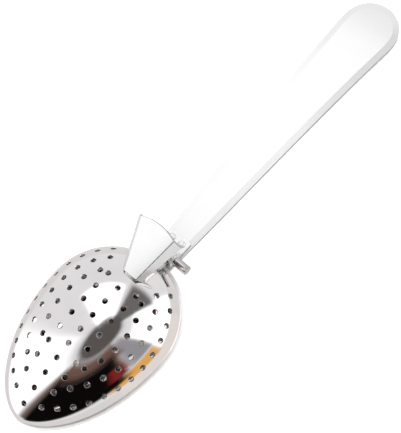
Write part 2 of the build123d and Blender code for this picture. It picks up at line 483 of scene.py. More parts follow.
@dataclass(frozen=True)
class Egg:
    """The egg that the bowl and the lid are both halves of, in plan and in depth."""

    half_width: float = 21.1
    nose_reach: float = 38.3
    side_pull: float = 25.5
    nose_pull: float = 7.5
    nose_ease: float = 0.6
    side_ease: float = 0.5
    middle_x: float = -39.2
    spacing: float = 0.62
    easing: int = 24
    spin_steps: int = 104

    def outline(self, inset: float) -> list[Vector]:
        """The +Y half of the outline from the nose to the tail, drawn in by inset.

        Args:
            inset: How far inside the rim flange's edge.

        Returns:
            Evenly spaced points, with the join of curve and arc eased.
        """
        width, nose = self.half_width - inset, self.nose_reach - inset
        ends = (
            Vector((-nose, 0, 0)),
            Vector((-nose, self.nose_pull - self.nose_ease * inset, 0)),
            Vector((self.side_ease * inset - self.side_pull, width, 0)),
            Vector((0, width, 0)),
        )
        line = evenly(half_ring(ends, width, width), self.spacing)
        for _ in range(self.easing):
            inner = [
                (before + 2 * here + after) / 4 for before, here, after in zip(line, line[1:], line[2:])
            ]
            line = [line[0], *inner, line[-1]]
        shift = Vector((self.middle_x, 0, 0))
        return [point + shift for point in evenly(line, self.spacing)]

    def ring(self, inset: float) -> list[Vector]:
        """The whole outline, as a closed run of points."""
        half = self.outline(inset)
        return half + [Vector((point.x, -point.y, 0)) for point in reversed(half[1:-1])]

    def half_shell(self, name: str, inset: float, height: float, base: float) -> Shape:
        """Half of the egg as a skin, by spinning the outline and flattening it.

        Args:
            name: The new shape's name.
            inset: How far inside the rim flange's edge its outline is.
            height: How far the skin rises from its base, or falls if negative.
            base: The height of its open edge.

        Returns:
            The skin, with its faces outwards.
        """
        shape = Bench.chain(name, self.outline(inset))
        Bench.edit(shape, "SELECT")
        bpy.ops.mesh.spin(steps=self.spin_steps, angle=math.pi, center=(0, 0, 0), axis=(1, 0, 0))
        bpy.ops.mesh.select_all(action="SELECT")
        bpy.ops.mesh.remove_doubles(threshold=DOUBLES)
        mesh = bmesh.from_edit_mesh(shape.data)
        tallest = max((corner.co.z for corner in mesh.verts), key=abs)
        Bench.stretch(1, 1, height / tallest)
        Bench.shift((0, 0, base))
        bpy.ops.mesh.normals_make_consistent(inside=False)
        mesh = bmesh.from_edit_mesh(shape.data)
        far = max(mesh.faces, key=lambda face: abs(face.calc_center_median().z - base))
        if far.normal.z * height < 0:
            bpy.ops.mesh.flip_normals()
        bpy.ops.object.mode_set(mode="OBJECT")
        return shape

    def plug(self, name: str, inset: float, height: float, base: float, reach: float) -> Shape:
        """Half of the egg as a closed solid with straight sides beyond its base, for cutting with.

        Args:
            name: The new shape's name.
            inset: How far inside the rim flange's edge its outline is.
            height: How far it rises from its base, or falls if negative.
            base: The height of its widest section.
            reach: How far its straight sides go on past its base.

        Returns:
            The closed solid.
        """
        shape = self.half_shell(name, inset, height, base)
        Bench.edit(shape)
        Bench.pick(shape, Part.EDGE, lambda line: len(line.link_faces) == 1)
        Bench.extrude((0, 0, -math.copysign(reach, height)))
        bpy.ops.mesh.edge_face_add()
        Bench.close(shape)
        return shape


@dataclass(frozen=True)
class HoleRing:
    """Punched holes that follow the outline, the same on both sides.

    Nose, tail and half are how far the ring's line reaches; first and pitch are lengths along it.
    """

    nose: float
    tail: float
    half: float
    first: float
    pitch: float
    count: int


@dataclass(frozen=True)
class HoleRow:
    """Punched holes in a straight row along the spoon."""

    first: float
    across: float
    pitch: float
    count: int


@dataclass(frozen=True)
class Punch:
    """The hole pattern, which the bowl and the lid share, and the punch's own shape."""

    radius: float = 0.8
    flare: float = 0.09
    flare_depth: float = 0.14
    flare_rings: tuple[tuple[float, float], ...] = ((0.3, 0.62), (1.0, 0.42))
    neck: float = 0.4
    neck_grow: float = 1.25
    reach: float = 1.6
    sides: int = 20
    ring_shift: float = -4.2
    ring_fineness: float = 0.05
    far: float = 60.0
    rings: tuple[HoleRing, ...] = (
        HoleRing(27.6, 23.6, 18.5, 5.0, 4.36, 13),
        HoleRing(21.8, 20.3, 15.0, 9.3, 4.7, 9),
        HoleRing(17.2, 16.6, 11.0, 10.3, 4.88, 6),
    )
    rows: tuple[HoleRow, ...] = (
        HoleRow(6.8, 0.0, 4.97, 9),
        HoleRow(8.4, 5.2, 4.85, 8),
        HoleRow(8.4, -5.2, 4.85, 8),
    )

    def ring_line(self, ring: HoleRing) -> list[Vector]:
        """One ring's line.

        Args:
            ring: The ring.

        Returns:
            Its points from the nose round to the tail, in fine even steps.
        """
        ends = (
            Vector((-ring.nose, 0, 0)),
            Vector((-ring.nose, ring.half / 2, 0)),
            Vector((-ring.nose / 2, ring.half, 0)),
            Vector((0, ring.half, 0)),
        )
        return evenly(half_ring(ends, ring.half, ring.tail), self.ring_fineness)

    def places(self, egg: Egg) -> list[Vector]:
        """Where the holes are in plan.

        Args:
            egg: The egg that they are laid out on.

        Returns:
            One point for each hole.
        """
        found = [
            Vector((egg.middle_x + row.first - step * row.pitch, row.across, 0))
            for row in self.rows
            for step in range(row.count)
        ]
        for ring in self.rings:
            fine = self.ring_line(ring)
            step_length = (fine[1] - fine[0]).length
            for step in range(ring.count):
                point = fine[round((ring.first + step * ring.pitch) / step_length)]
                x = egg.middle_x + self.ring_shift + point.x
                found += [Vector((x, point.y, 0)), Vector((x, -point.y, 0))]
        return found

    def tool(self) -> Shape:
        """One punch, pointing down -Z, whose flared head leaves a rolled edge at Z = 0.

        Returns:
            The punch.
        """
        punch = Bench.cylinder("punch", self.radius, self.reach, (0, 0, -self.reach / 2), self.sides)
        Bench.edit(punch)
        Bench.pick(punch, Part.FACE, lambda face: face.normal.z > 0.9)
        Bench.shift((0, 0, -self.flare_depth))
        for share, rise in self.flare_rings:
            Bench.extrude((0, 0, rise * self.flare_depth))
            mesh = bmesh.from_edit_mesh(punch.data)
            now = max(corner.co.xy.length for corner in mesh.verts if corner.select)
            grow = (self.radius + share * self.flare) / now
            Bench.stretch(grow, grow, 1)
        Bench.extrude((0, 0, self.neck))
        Bench.stretch(self.neck_grow, self.neck_grow, 1)
        Bench.close(punch)
        return punch

    def gang(self, skin: Shape, egg: Egg, upward: bool) -> Shape:
        """All the punches together, each square to the skin where it meets it.

        Args:
            skin: The skin that they go through.
            egg: The egg that they are laid out on.
            upward: Whether the skin's outside is above it.

        Returns:
            One cutter.
        """
        first = self.tool()
        way = -1.0 if upward else 1.0
        punches = []
        for place in self.places(egg):
            start = Vector((place.x, place.y, -self.far * way))
            hit, point, normal, _ = skin.ray_cast(start, Vector((0, 0, way)))
            if not hit:
                raise ValueError(f"no skin under the hole at {place}")
            if normal.z * way > 0:
                normal = -normal
            punch = Bench.copy(first)
            punch.data.transform(
                Matrix.Translation(point) @ normal.to_track_quat("Z", "Y").to_matrix().to_4x4()
            )
            punches.append(punch)
        bpy.data.objects.remove(first)
        return Bench.join("punches", punches)


@dataclass(frozen=True)
class Settling:
    """How a piece goes from the spoon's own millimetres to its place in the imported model."""

    pin: Vector = at(-15.9, 0, 3.2)
    nose_x: float = -77.5

    def matrix(self) -> Matrix:
        """Scale to metres, and tip about the hinge pin until the rim's nose is at its packed height.

        Returns:
            The move from the spoon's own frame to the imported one.
        """
        joint = Vector(frame["joints"][0]["pos_m"])
        rise = (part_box("lower_bowl")[1].z - joint.z) / MM
        ahead, below = self.pin.x - self.nose_x, self.pin.z
        tip = math.asin(rise / math.hypot(ahead, below)) + math.atan2(below, ahead)
        return (
            Matrix.Translation(joint)
            @ Matrix.Rotation(tip, 4, "Y")
            @ Matrix.Scale(MM, 4)
            @ Matrix.Translation(-self.pin)
        )

    def settle(self, shape: Shape, name: str, body: Body, *nodes: str) -> None:
        """Put a finished piece in its place, on its body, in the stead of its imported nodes.

        Args:
            shape: The piece, in the spoon's own frame.
            name: The piece's name.
            body: The body that it rides on.
            nodes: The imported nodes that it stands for.
        """
        shape.name = name
        shape.data.name = name
        shape.matrix_world = self.matrix()
        Bench.take(shape)
        bpy.ops.object.transform_apply(location=True, rotation=True, scale=True)
        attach(shape, body.value)
        if nodes:
            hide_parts(*nodes)
        LOG.info("%s rides on %s, with %d corners", name, body.value, len(shape.data.vertices))


class Wiring:
    """A material or a sky, and the steps of wiring its nodes."""

    def __init__(self, block: bpy.types.Material | bpy.types.World) -> None:
        """Give the block a node tree."""
        block.use_nodes = True
        self.tree = block.node_tree

    def set(self, node: bpy.types.Node | str, **values: float | tuple) -> bpy.types.Node:
        """Set a node's inputs.

        Args:
            node: The node, or the name of one that the tree started with.
            values: What each input is set to, with an underscore for each space in its name.

        Returns:
            The node.
        """
        if isinstance(node, str):
            node = self.tree.nodes[node]
        for name, value in values.items():
            node.inputs[name.replace("_", " ")].default_value = value
        return node

    def add(self, kind: str, **values: float | tuple) -> bpy.types.Node:
        """Add a node of a kind, with its inputs set."""
        return self.set(self.tree.nodes.new(f"ShaderNode{kind}"), **values)

    def link(self, source: bpy.types.Node, output: str, target: bpy.types.Node, entry: str | int) -> None:
        """Run a wire from one node's output to another's input."""
        self.tree.links.new(source.outputs[output], target.inputs[entry])

    def noise(self, scale: Triple, detail: float) -> bpy.types.Node:
        """A noise texture on the piece's own coordinates.

        Args:
            scale: How fine the noise is along each axis.
            detail: How many finer layers it has.

        Returns:
            The texture's node.
        """
        place = self.add("TexCoord")
        stretch = self.add("Mapping", Scale=scale)
        texture = self.add("TexNoise", Scale=1.0, Detail=detail, Roughness=0.62)
        self.link(place, "Object", stretch, "Vector")
        self.link(stretch, "Vector", texture, "Vector")
        return texture


@dataclass(frozen=True)
class SteelFinish:
    """A polished or drawn steel: its tint, its gloss, and the marks that polishing left.

    The tint and the shade alternate in soft smears. Gloss is the least and the most roughness. The marks
    are stretched noise: grain is how fine they are along each axis, in lines per metre. Metal is below 1
    where the sheet is brushed so softly that it also scatters some light.
    """

    name: str
    slot: str
    tint: Triple
    shade: Triple
    gloss: tuple[float, float]
    grain: Triple
    mark_depth: float
    wave_depth: float = 0.0
    wave_scale: float = 60.0
    metal: float = 1.0
    smear_scale: float = 90.0
    span: tuple[float, float] = (0.3, 0.7)

    def material(self) -> bpy.types.Material:
        """Make the finish.

        Returns:
            The material, or the one made earlier.
        """
        made = bpy.data.materials.get(self.name)
        if made:
            return made
        made = bpy.data.materials.new(self.name)
        wiring = Wiring(made)
        shader = wiring.set("Principled BSDF", Metallic=self.metal)
        marks = wiring.noise(self.grain, 4.0)
        smears = wiring.noise((self.smear_scale,) * 3, 3.0)
        tone = wiring.add("ValToRGB")
        for stop, place, colour in zip(tone.color_ramp.elements, self.span, (self.shade, self.tint)):
            stop.position = place
            stop.color = (*colour, 1)
        wiring.link(smears, "Fac", tone, "Fac")
        wiring.link(tone, "Color", shader, "Base Color")
        low, high = self.span
        blur = wiring.add("MapRange", From_Min=low, From_Max=high, To_Min=self.gloss[0], To_Max=self.gloss[1])
        wiring.link(marks, "Fac", blur, "Value")
        wiring.link(blur, "Result", shader, "Roughness")
        bump = wiring.add("Bump", Strength=1.0, Distance=self.mark_depth)
        wiring.link(marks, "Fac", bump, "Height")
        if self.wave_depth:
            waves = wiring.noise((self.wave_scale,) * 3, 0.0)
            swell = wiring.add("Bump", Strength=1.0, Distance=self.wave_depth)
            wiring.link(waves, "Fac", swell, "Height")
            wiring.link(swell, "Normal", bump, "Normal")
        wiring.link(bump, "Normal", shader, "Normal")
        return made

    def dress(self, shape: Shape) -> None:
        """Give a piece this finish.

        Args:
            shape: The piece.
        """
        shape.data.materials.clear()
        shape.data.materials.append(self.material())

    def dress_edges(self, shape: Shape, top: Vector, spread: float) -> None:
        """Give this finish to the sheared edges of a sheet only.

        Args:
            shape: The piece, in the spoon's own frame.
            top: The way that the sheet's broad face looks.
            spread: How far from it, in degrees, a face may look and still be broad.
        """
        shape.data.materials.append(self.material())
        least = math.cos(math.radians(spread))
        for face in shape.data.polygons:
            face.material_index = int(abs(face.normal.dot(top)) < least)


MIRROR = SteelFinish(
    "mirror_steel_buffed", "mirror_steel", (0.86, 0.85, 0.845), (0.80, 0.79, 0.785), (0.035, 0.085),
    (700.0, 2600.0, 2600.0), 0.6e-6, wave_depth=20e-6, wave_scale=70.0,
)
HANDLE_POLISH = SteelFinish(
    "handle_steel_polished", "polished_steel", (0.415,) * 3, (0.40,) * 3, (0.13, 0.22),
    (160.0, 5200.0, 5200.0), 1.2e-6, metal=0.5,
)
LEVER_POLISH = SteelFinish(
    "lever_steel_polished", "polished_steel", (0.43,) * 3, (0.415,) * 3, (0.12, 0.20),
    (3600.0, 260.0, 3600.0), 1.0e-6, metal=0.5,
)
HINGE_POLISH = SteelFinish(
    "hinge_steel_tumbled", "hinge_steel", (0.80, 0.795, 0.785), (0.66, 0.655, 0.645), (0.12, 0.26),
    (2400.0,) * 3, 1.5e-6,
)
PIN_POLISH = SteelFinish(
    "pin_steel_turned", "hinge_steel", (0.66, 0.64, 0.62), (0.52, 0.50, 0.485), (0.10, 0.20),
    (2600.0, 300.0, 2600.0), 1.2e-6,
)
SADDLE_POLISH = SteelFinish(
    "saddle_steel_polished", "hinge_steel", (0.44,) * 3, (0.42,) * 3, (0.22, 0.30),
    (900.0,) * 3, 1.0e-6, metal=0.5,
)
RIM_POLISH = SteelFinish(
    "rim_steel_satin", "mirror_steel", (0.84, 0.835, 0.83), (0.78, 0.775, 0.77), (0.34, 0.44),
    (1800.0,) * 3, 1.0e-6, metal=0.8,
)
SHEARED_EDGE = SteelFinish(
    "steel_edge_sheared", "polished_steel", (0.62, 0.615, 0.61), (0.54, 0.535, 0.53), (0.30, 0.42),
    (2600.0, 2600.0, 300.0), 1.5e-6,
)
WIRE_POLISH = SteelFinish(
    "spring_wire_drawn", "spring_steel", (0.62, 0.615, 0.605), (0.48, 0.475, 0.465), (0.20, 0.34),
    (3000.0, 900.0, 3000.0), 1.2e-6,
)


@dataclass(frozen=True)
class Shells:
    """The perforated bowl and lid, pressed from thin sheet, and plainer eggs to cut other pieces with."""

    egg: Egg
    punch: Punch
    settling: Settling
    cutting_egg: Egg = Egg(spacing=1.2, spin_steps=60)
    sheet: float = 0.6
    clearance: float = 0.01
    flange_width: float = 1.0
    flange_round: float = 0.14
    rim_step: float = 0.04
    bowl_depth: float = 12.0
    lid_inset: float = 0.8
    lid_height: float = 11.0
    seat_gap: float = 0.08

    def lid(self) -> None:
        """The lid, whose cut edge rests on the bowl's rim."""
        rise = self.lid_height - self.seat_gap
        skin = self.egg.half_shell("lid_skin", self.lid_inset, rise, self.seat_gap)
        punches = self.punch.gang(skin, self.egg, upward=True)
        self.press(skin, punches)
        self.settling.settle(skin, "lid_shell", Body.LID, "lid")

    def press(self, skin: Shape, *tools: Shape) -> None:
        """Thicken a skin inwards, cut it or join it with each tool, and polish it.

        Args:
            skin: The skin.
            tools: A flange to join, if there is one, and then the punches.
        """
        Bench.finish_with(skin, "SOLIDIFY", thickness=self.sheet, offset=-1.0, use_even_offset=True)
        for flange in tools[:-1]:
            Bench.cut(skin, flange, Cut.JOIN)
        Bench.cut(skin, tools[-1])
        Bench.shade(skin)
        MIRROR.dress(skin)

    def bowl(self) -> None:
        """The bowl, with a narrow flange round its rim."""
        top = -self.rim_step
        skin = self.egg.half_shell("bowl_skin", self.flange_width, -self.bowl_depth - top, top)
        punches = self.punch.gang(skin, self.egg, upward=False)
        depth = Vector((0, 0, self.sheet))
        flange = Bench.block("flange", [point - depth for point in self.egg.ring(0.0)], depth)
        inner = self.egg.ring(self.flange_width + self.sheet / 2)
        Bench.cut(flange, Bench.block("hollow", [point - 2 * depth for point in inner], 4 * depth))
        Bench.soften(flange, self.flange_round, angle=50.0)
        self.press(skin, flange, punches)
        skin.data.materials.append(RIM_POLISH.material())
        for face in skin.data.polygons:
            face.material_index = int(face.center.z > -self.sheet - 2 * self.clearance)
        self.settling.settle(skin, "bowl_shell", Body.SPOON, "lower_bowl")

    def lid_blank(self) -> Shape:
        """What the lid takes up.

        Returns:
            A cutter for the lever and the yoke.
        """
        inset = self.lid_inset - self.clearance
        return self.cutting_egg.plug("lid_cutter", inset, self.lid_height, self.clearance, 1.0)

    def flange_blank(self) -> Shape:
        """What the bowl's flange takes up, and all above it.

        Returns:
            A cutter for the handle's neck.
        """
        under = Vector((0, 0, self.sheet + self.clearance))
        ring = self.egg.ring(-2 * self.clearance)
        return Bench.block("flange_cutter", [point - under for point in ring], 5 * under)


@dataclass(frozen=True)
class Handle:
    """The arched strip that widens from the neck to a rounded end."""

    shells: Shells
    settling: Settling
    neck_x: float = -21.1
    start_x: float = -19.65
    arch_x: float = -9.3
    end_x: float = 77.5
    shoulder_x: float = 67.0
    neck_half: float = 3.8
    end_half: float = 8.5
    thickness: float = 1.8
    drop: float = 2.2
    crest: float = 2.8
    border: float = 1.8
    border_fall: float = 0.19
    body_stations: int = 54
    end_stations: int = 30
    end_swell: float = 0.35
    end_power: float = 2.5
    edge_round: float = 0.34
    edge_turn: float = 24.0

    def half_at(self, x: float) -> float:
        """Half of the handle's width.

        Args:
            x: How far along the spoon.

        Returns:
            The half width there.
        """
        slope = (self.end_half - self.neck_half) / (self.shoulder_x - self.neck_x)
        if x <= self.shoulder_x:
            return self.neck_half + slope * (x - self.neck_x)
        reach = self.end_x - self.shoulder_x
        share = min((x - self.shoulder_x) / reach, 1.0)
        widest = self.end_half + self.end_swell * smooth_step(share) * (1 - share)
        return widest * (1 - share**self.end_power) ** 0.5

    def height_at(self, x: float) -> float:
        """Height of the handle's top.

        Args:
            x: How far along the spoon.

        Returns:
            The height there.
        """
        if x <= self.arch_x:
            return 0.0
        ends = (
            Vector((self.arch_x, 0, 0)),
            Vector((20, 0, 0)),
            Vector((50, 0, self.crest)),
            Vector((self.end_x, 0, -self.drop)),
        )
        low, high = 0.0, 1.0
        for _ in range(30):
            middle = (low + high) / 2
            if bezier(ends, middle).x < x:
                low = middle
            else:
                high = middle
        return bezier(ends, low).z

    def station_places(self) -> list[float]:
        """Where the strip's cross lines are.

        Returns:
            How far along the spoon each is, closer together round the handle's end.
        """
        length, reach = self.shoulder_x - self.start_x, self.end_x - self.shoulder_x
        body = [self.start_x + length * step / self.body_stations for step in range(self.body_stations)]
        turns = [math.pi / 2 * step / self.end_stations for step in range(self.end_stations)]
        return body + [self.shoulder_x + reach * math.sin(turn) for turn in turns]

    def build(self) -> None:
        """Extrude the strip station by station, lower its border, thicken it and fit it to the bowl."""
        places = self.station_places()
        strip = Bench.strip("handle", *((x, self.half_at(x), self.height_at(x)) for x in places[:2]))
        Bench.pick(strip, Part.VERT, lambda corner: abs(corner.co.x - places[1]) < 1e-4)
        bpy.ops.mesh.select_mode(type="EDGE")
        for before, here in zip(places[1:], places[2:]):
            Bench.extrude((here - before, 0, self.height_at(here) - self.height_at(before)))
            Bench.stretch(1, self.half_at(here) / self.half_at(before), 1)
        bpy.ops.mesh.select_all(action="SELECT")
        bpy.ops.mesh.select_mode(type="FACE")
        bpy.ops.mesh.inset(thickness=self.border, use_boundary=True)
        Bench.pick(strip, Part.VERT, self.on_border)
        Bench.shift((0, 0, -self.border_fall))
        Bench.close(strip)
        self.face_up(strip)
        Bench.finish_with(strip, "SOLIDIFY", thickness=self.thickness, offset=-1.0)
        Bench.cut(strip, self.shells.flange_blank())
        Bench.soften(strip, self.edge_round, segments=2)
        Bench.shade(strip, 4.0)
        HANDLE_POLISH.dress(strip)
        SHEARED_EDGE.dress_edges(strip, Vector((0, 0, 1)), self.edge_turn)
        self.settling.settle(strip, "handle_strip", Body.SPOON, "spoon_handle")

    @staticmethod
    def on_border(corner: bmesh.types.BMVert) -> bool:
        """Whether a corner of the flat strip is on its outside edge."""
        return any(len(line.link_faces) == 1 for line in corner.link_edges)

    @staticmethod
    def face_up(strip: Shape) -> None:
        """Turn a strip over if it faces down.

        Args:
            strip: The strip.
        """
        if sum(face.normal.z * face.area for face in strip.data.polygons) < 0:
            Bench.edit(strip)
            bpy.ops.mesh.select_all(action="SELECT")
            bpy.ops.mesh.flip_normals()
            bpy.ops.object.mode_set(mode="OBJECT")


@dataclass(frozen=True)
class Lever:
    """The thumb lever's fan of folded sheet, and the yoke that carries it and the lid on the pin."""

    shells: Shells
    settling: Settling
    front: Vector = at(-27.6, 0, 10.0)
    slope: float = 30.9
    length: float = 17.1
    sheet: float = 0.8
    front_half: float = 2.2
    flare: float = 0.238
    tail_radius: float = 13.5
    fold_front: Vector = at(0, 1.3, -1.5)
    fold_tail: Vector = at(0, 2.3, -2.6)
    fold_round: float = 0.2
    lip: Vector = at(-0.05, 0, -2.3)
    edge_round: float = 0.14
    crease_turn: tuple[float, float] = (9.0, 44.0)
    yoke_half: float = 2.9
    yoke_sheet: float = 0.7
    yoke_front: float = -23.4
    yoke_toe: float = 4.0
    yoke_heel: tuple[float, float] = (-3.5, 2.2)
    yoke_round: float = 0.12
    channel_floor: float = -5.0
    eye_radius: float = 1.45
    pin_radius: float = 0.94
    gap: float = 0.02
    clear: float = 9.0
    bore: tuple[float, float] = (-6.0, 6.0)

    def tilt(self) -> Matrix:
        """From the lever's own frame, with its front at the origin, to the spoon's."""
        return Matrix.Translation(self.front) @ Matrix.Rotation(-math.radians(self.slope), 4, "Y")

    def fan(self) -> None:
        """The fan, with a fold down each side and a lip in front that meets the lid."""
        tail_half = self.front_half + self.flare * self.length
        fan = Bench.strip("fan", (0.0, self.front_half, 0), (self.length, tail_half, 0))
        more = self.fold_tail - self.fold_front
        for way in (-1, 1):
            Bench.pick(fan, Part.EDGE, lambda line, way=way: self.on_side(line, way))
            Bench.extrude((0, way * self.fold_front.y, self.fold_front.z))
            Bench.pick(fan, Part.VERT, lambda corner, way=way: self.at_tail_fold(corner, way))
            Bench.shift((0, way * more.y, more.z))
        Bench.pick(fan, Part.EDGE, self.is_front)
        Bench.extrude(self.lip)
        Bench.pick(fan, Part.EDGE, lambda line: len(line.link_faces) == 2)
        bpy.ops.mesh.bevel(offset=self.fold_round, segments=4, affect="EDGES")
        Bench.close(fan)
        Handle.face_up(fan)
        Bench.finish_with(fan, "SOLIDIFY", thickness=self.sheet, offset=-1.0, use_even_offset=True)
        middle = (self.length - self.tail_radius, 0, 0)
        Bench.cut(fan, Bench.cylinder("tail", self.tail_radius, 30, middle, 240), Cut.KEEP)
        fan.data.transform(self.tilt())
        Bench.cut(fan, self.shells.lid_blank())
        Bench.soften(fan, self.edge_round)
        LEVER_POLISH.dress(fan)
        self.dress_cut_edges(fan)
        self.settling.settle(fan, "thumb_lever_fan", Body.LID, "thumb_lever")

    def dress_cut_edges(self, fan: Shape) -> None:
        """Give the sheared finish to the fan's cut ends and to the creases of its folds.

        Args:
            fan: The fan, in the spoon's own frame.
        """
        fan.data.materials.append(SHEARED_EDGE.material())
        turned = self.tilt().to_3x3()
        tail, top = turned @ Vector((1, 0, 0)), turned @ Vector((0, 0, 1))
        least, most = self.crease_turn
        for face in fan.data.polygons:
            turn = math.degrees(math.acos(min(1.0, abs(face.normal.dot(top)))))
            face.material_index = int(abs(face.normal.dot(tail)) > 0.5 or least < turn < most)

    def on_side(self, line: bmesh.types.BMEdge, way: int) -> bool:
        """Whether an edge of the flat fan is its long one on that side."""
        return all(corner.co.y * way > self.front_half - 0.1 for corner in line.verts)

    def at_tail_fold(self, corner: bmesh.types.BMVert, way: int) -> bool:
        """Whether a corner is the fold's lower one at the tail, on that side."""
        return corner.co.x > self.length - 0.1 and corner.co.z < -0.1 and corner.co.y * way > 0

    def is_front(self, line: bmesh.types.BMEdge) -> bool:
        """Whether an edge is the flat fan's front one."""
        return all(abs(corner.co.x) < 0.1 and abs(corner.co.z) < 0.1 for corner in line.verts)

    def under(self, x: float, below: float) -> Vector:
        """A point under the fan, in side view.

        Args:
            x: How far along the spoon.
            below: How far below the fan's underside.

        Returns:
            The point.
        """
        rise = math.tan(math.radians(self.slope))
        drop = (self.sheet + below) / math.cos(math.radians(self.slope))
        return Vector((x, 0, self.front.z - drop + (x - self.front.x) * rise))

    def yoke(self) -> None:
        """Two arms from the pin up to the fan, joined by a web under it."""
        pin = self.settling.pin
        outline = [
            *eye(pin, self.eye_radius, -120, 120, 12),
            self.under(pin.x + self.eye_radius, self.gap),
            self.under(self.yoke_front, self.gap),
            Vector((self.yoke_front, 0, self.yoke_toe)),
            Vector((pin.x + self.yoke_heel[0], 0, self.yoke_heel[1])),
        ]
        yoke = Bench.plate("yoke", outline, self.yoke_half)
        behind, ahead = pin.x + self.clear, self.yoke_front - self.clear
        hollow = [
            self.under(behind, self.yoke_sheet),
            self.under(ahead, self.yoke_sheet),
            Vector((ahead, 0, self.channel_floor)),
            Vector((behind, 0, self.channel_floor)),
        ]
        Bench.cut(yoke, Bench.plate("channel", hollow, self.yoke_half - self.yoke_sheet))
        Bench.cut(yoke, self.shells.lid_blank())
        Bench.cut(yoke, Bench.rod("bore", self.pin_radius, self.bore, pin))
        Bench.soften(yoke, self.yoke_round)
        HINGE_POLISH.dress(yoke)
        self.settling.settle(yoke, "lid_yoke_folded", Body.LID, "lid_yoke")


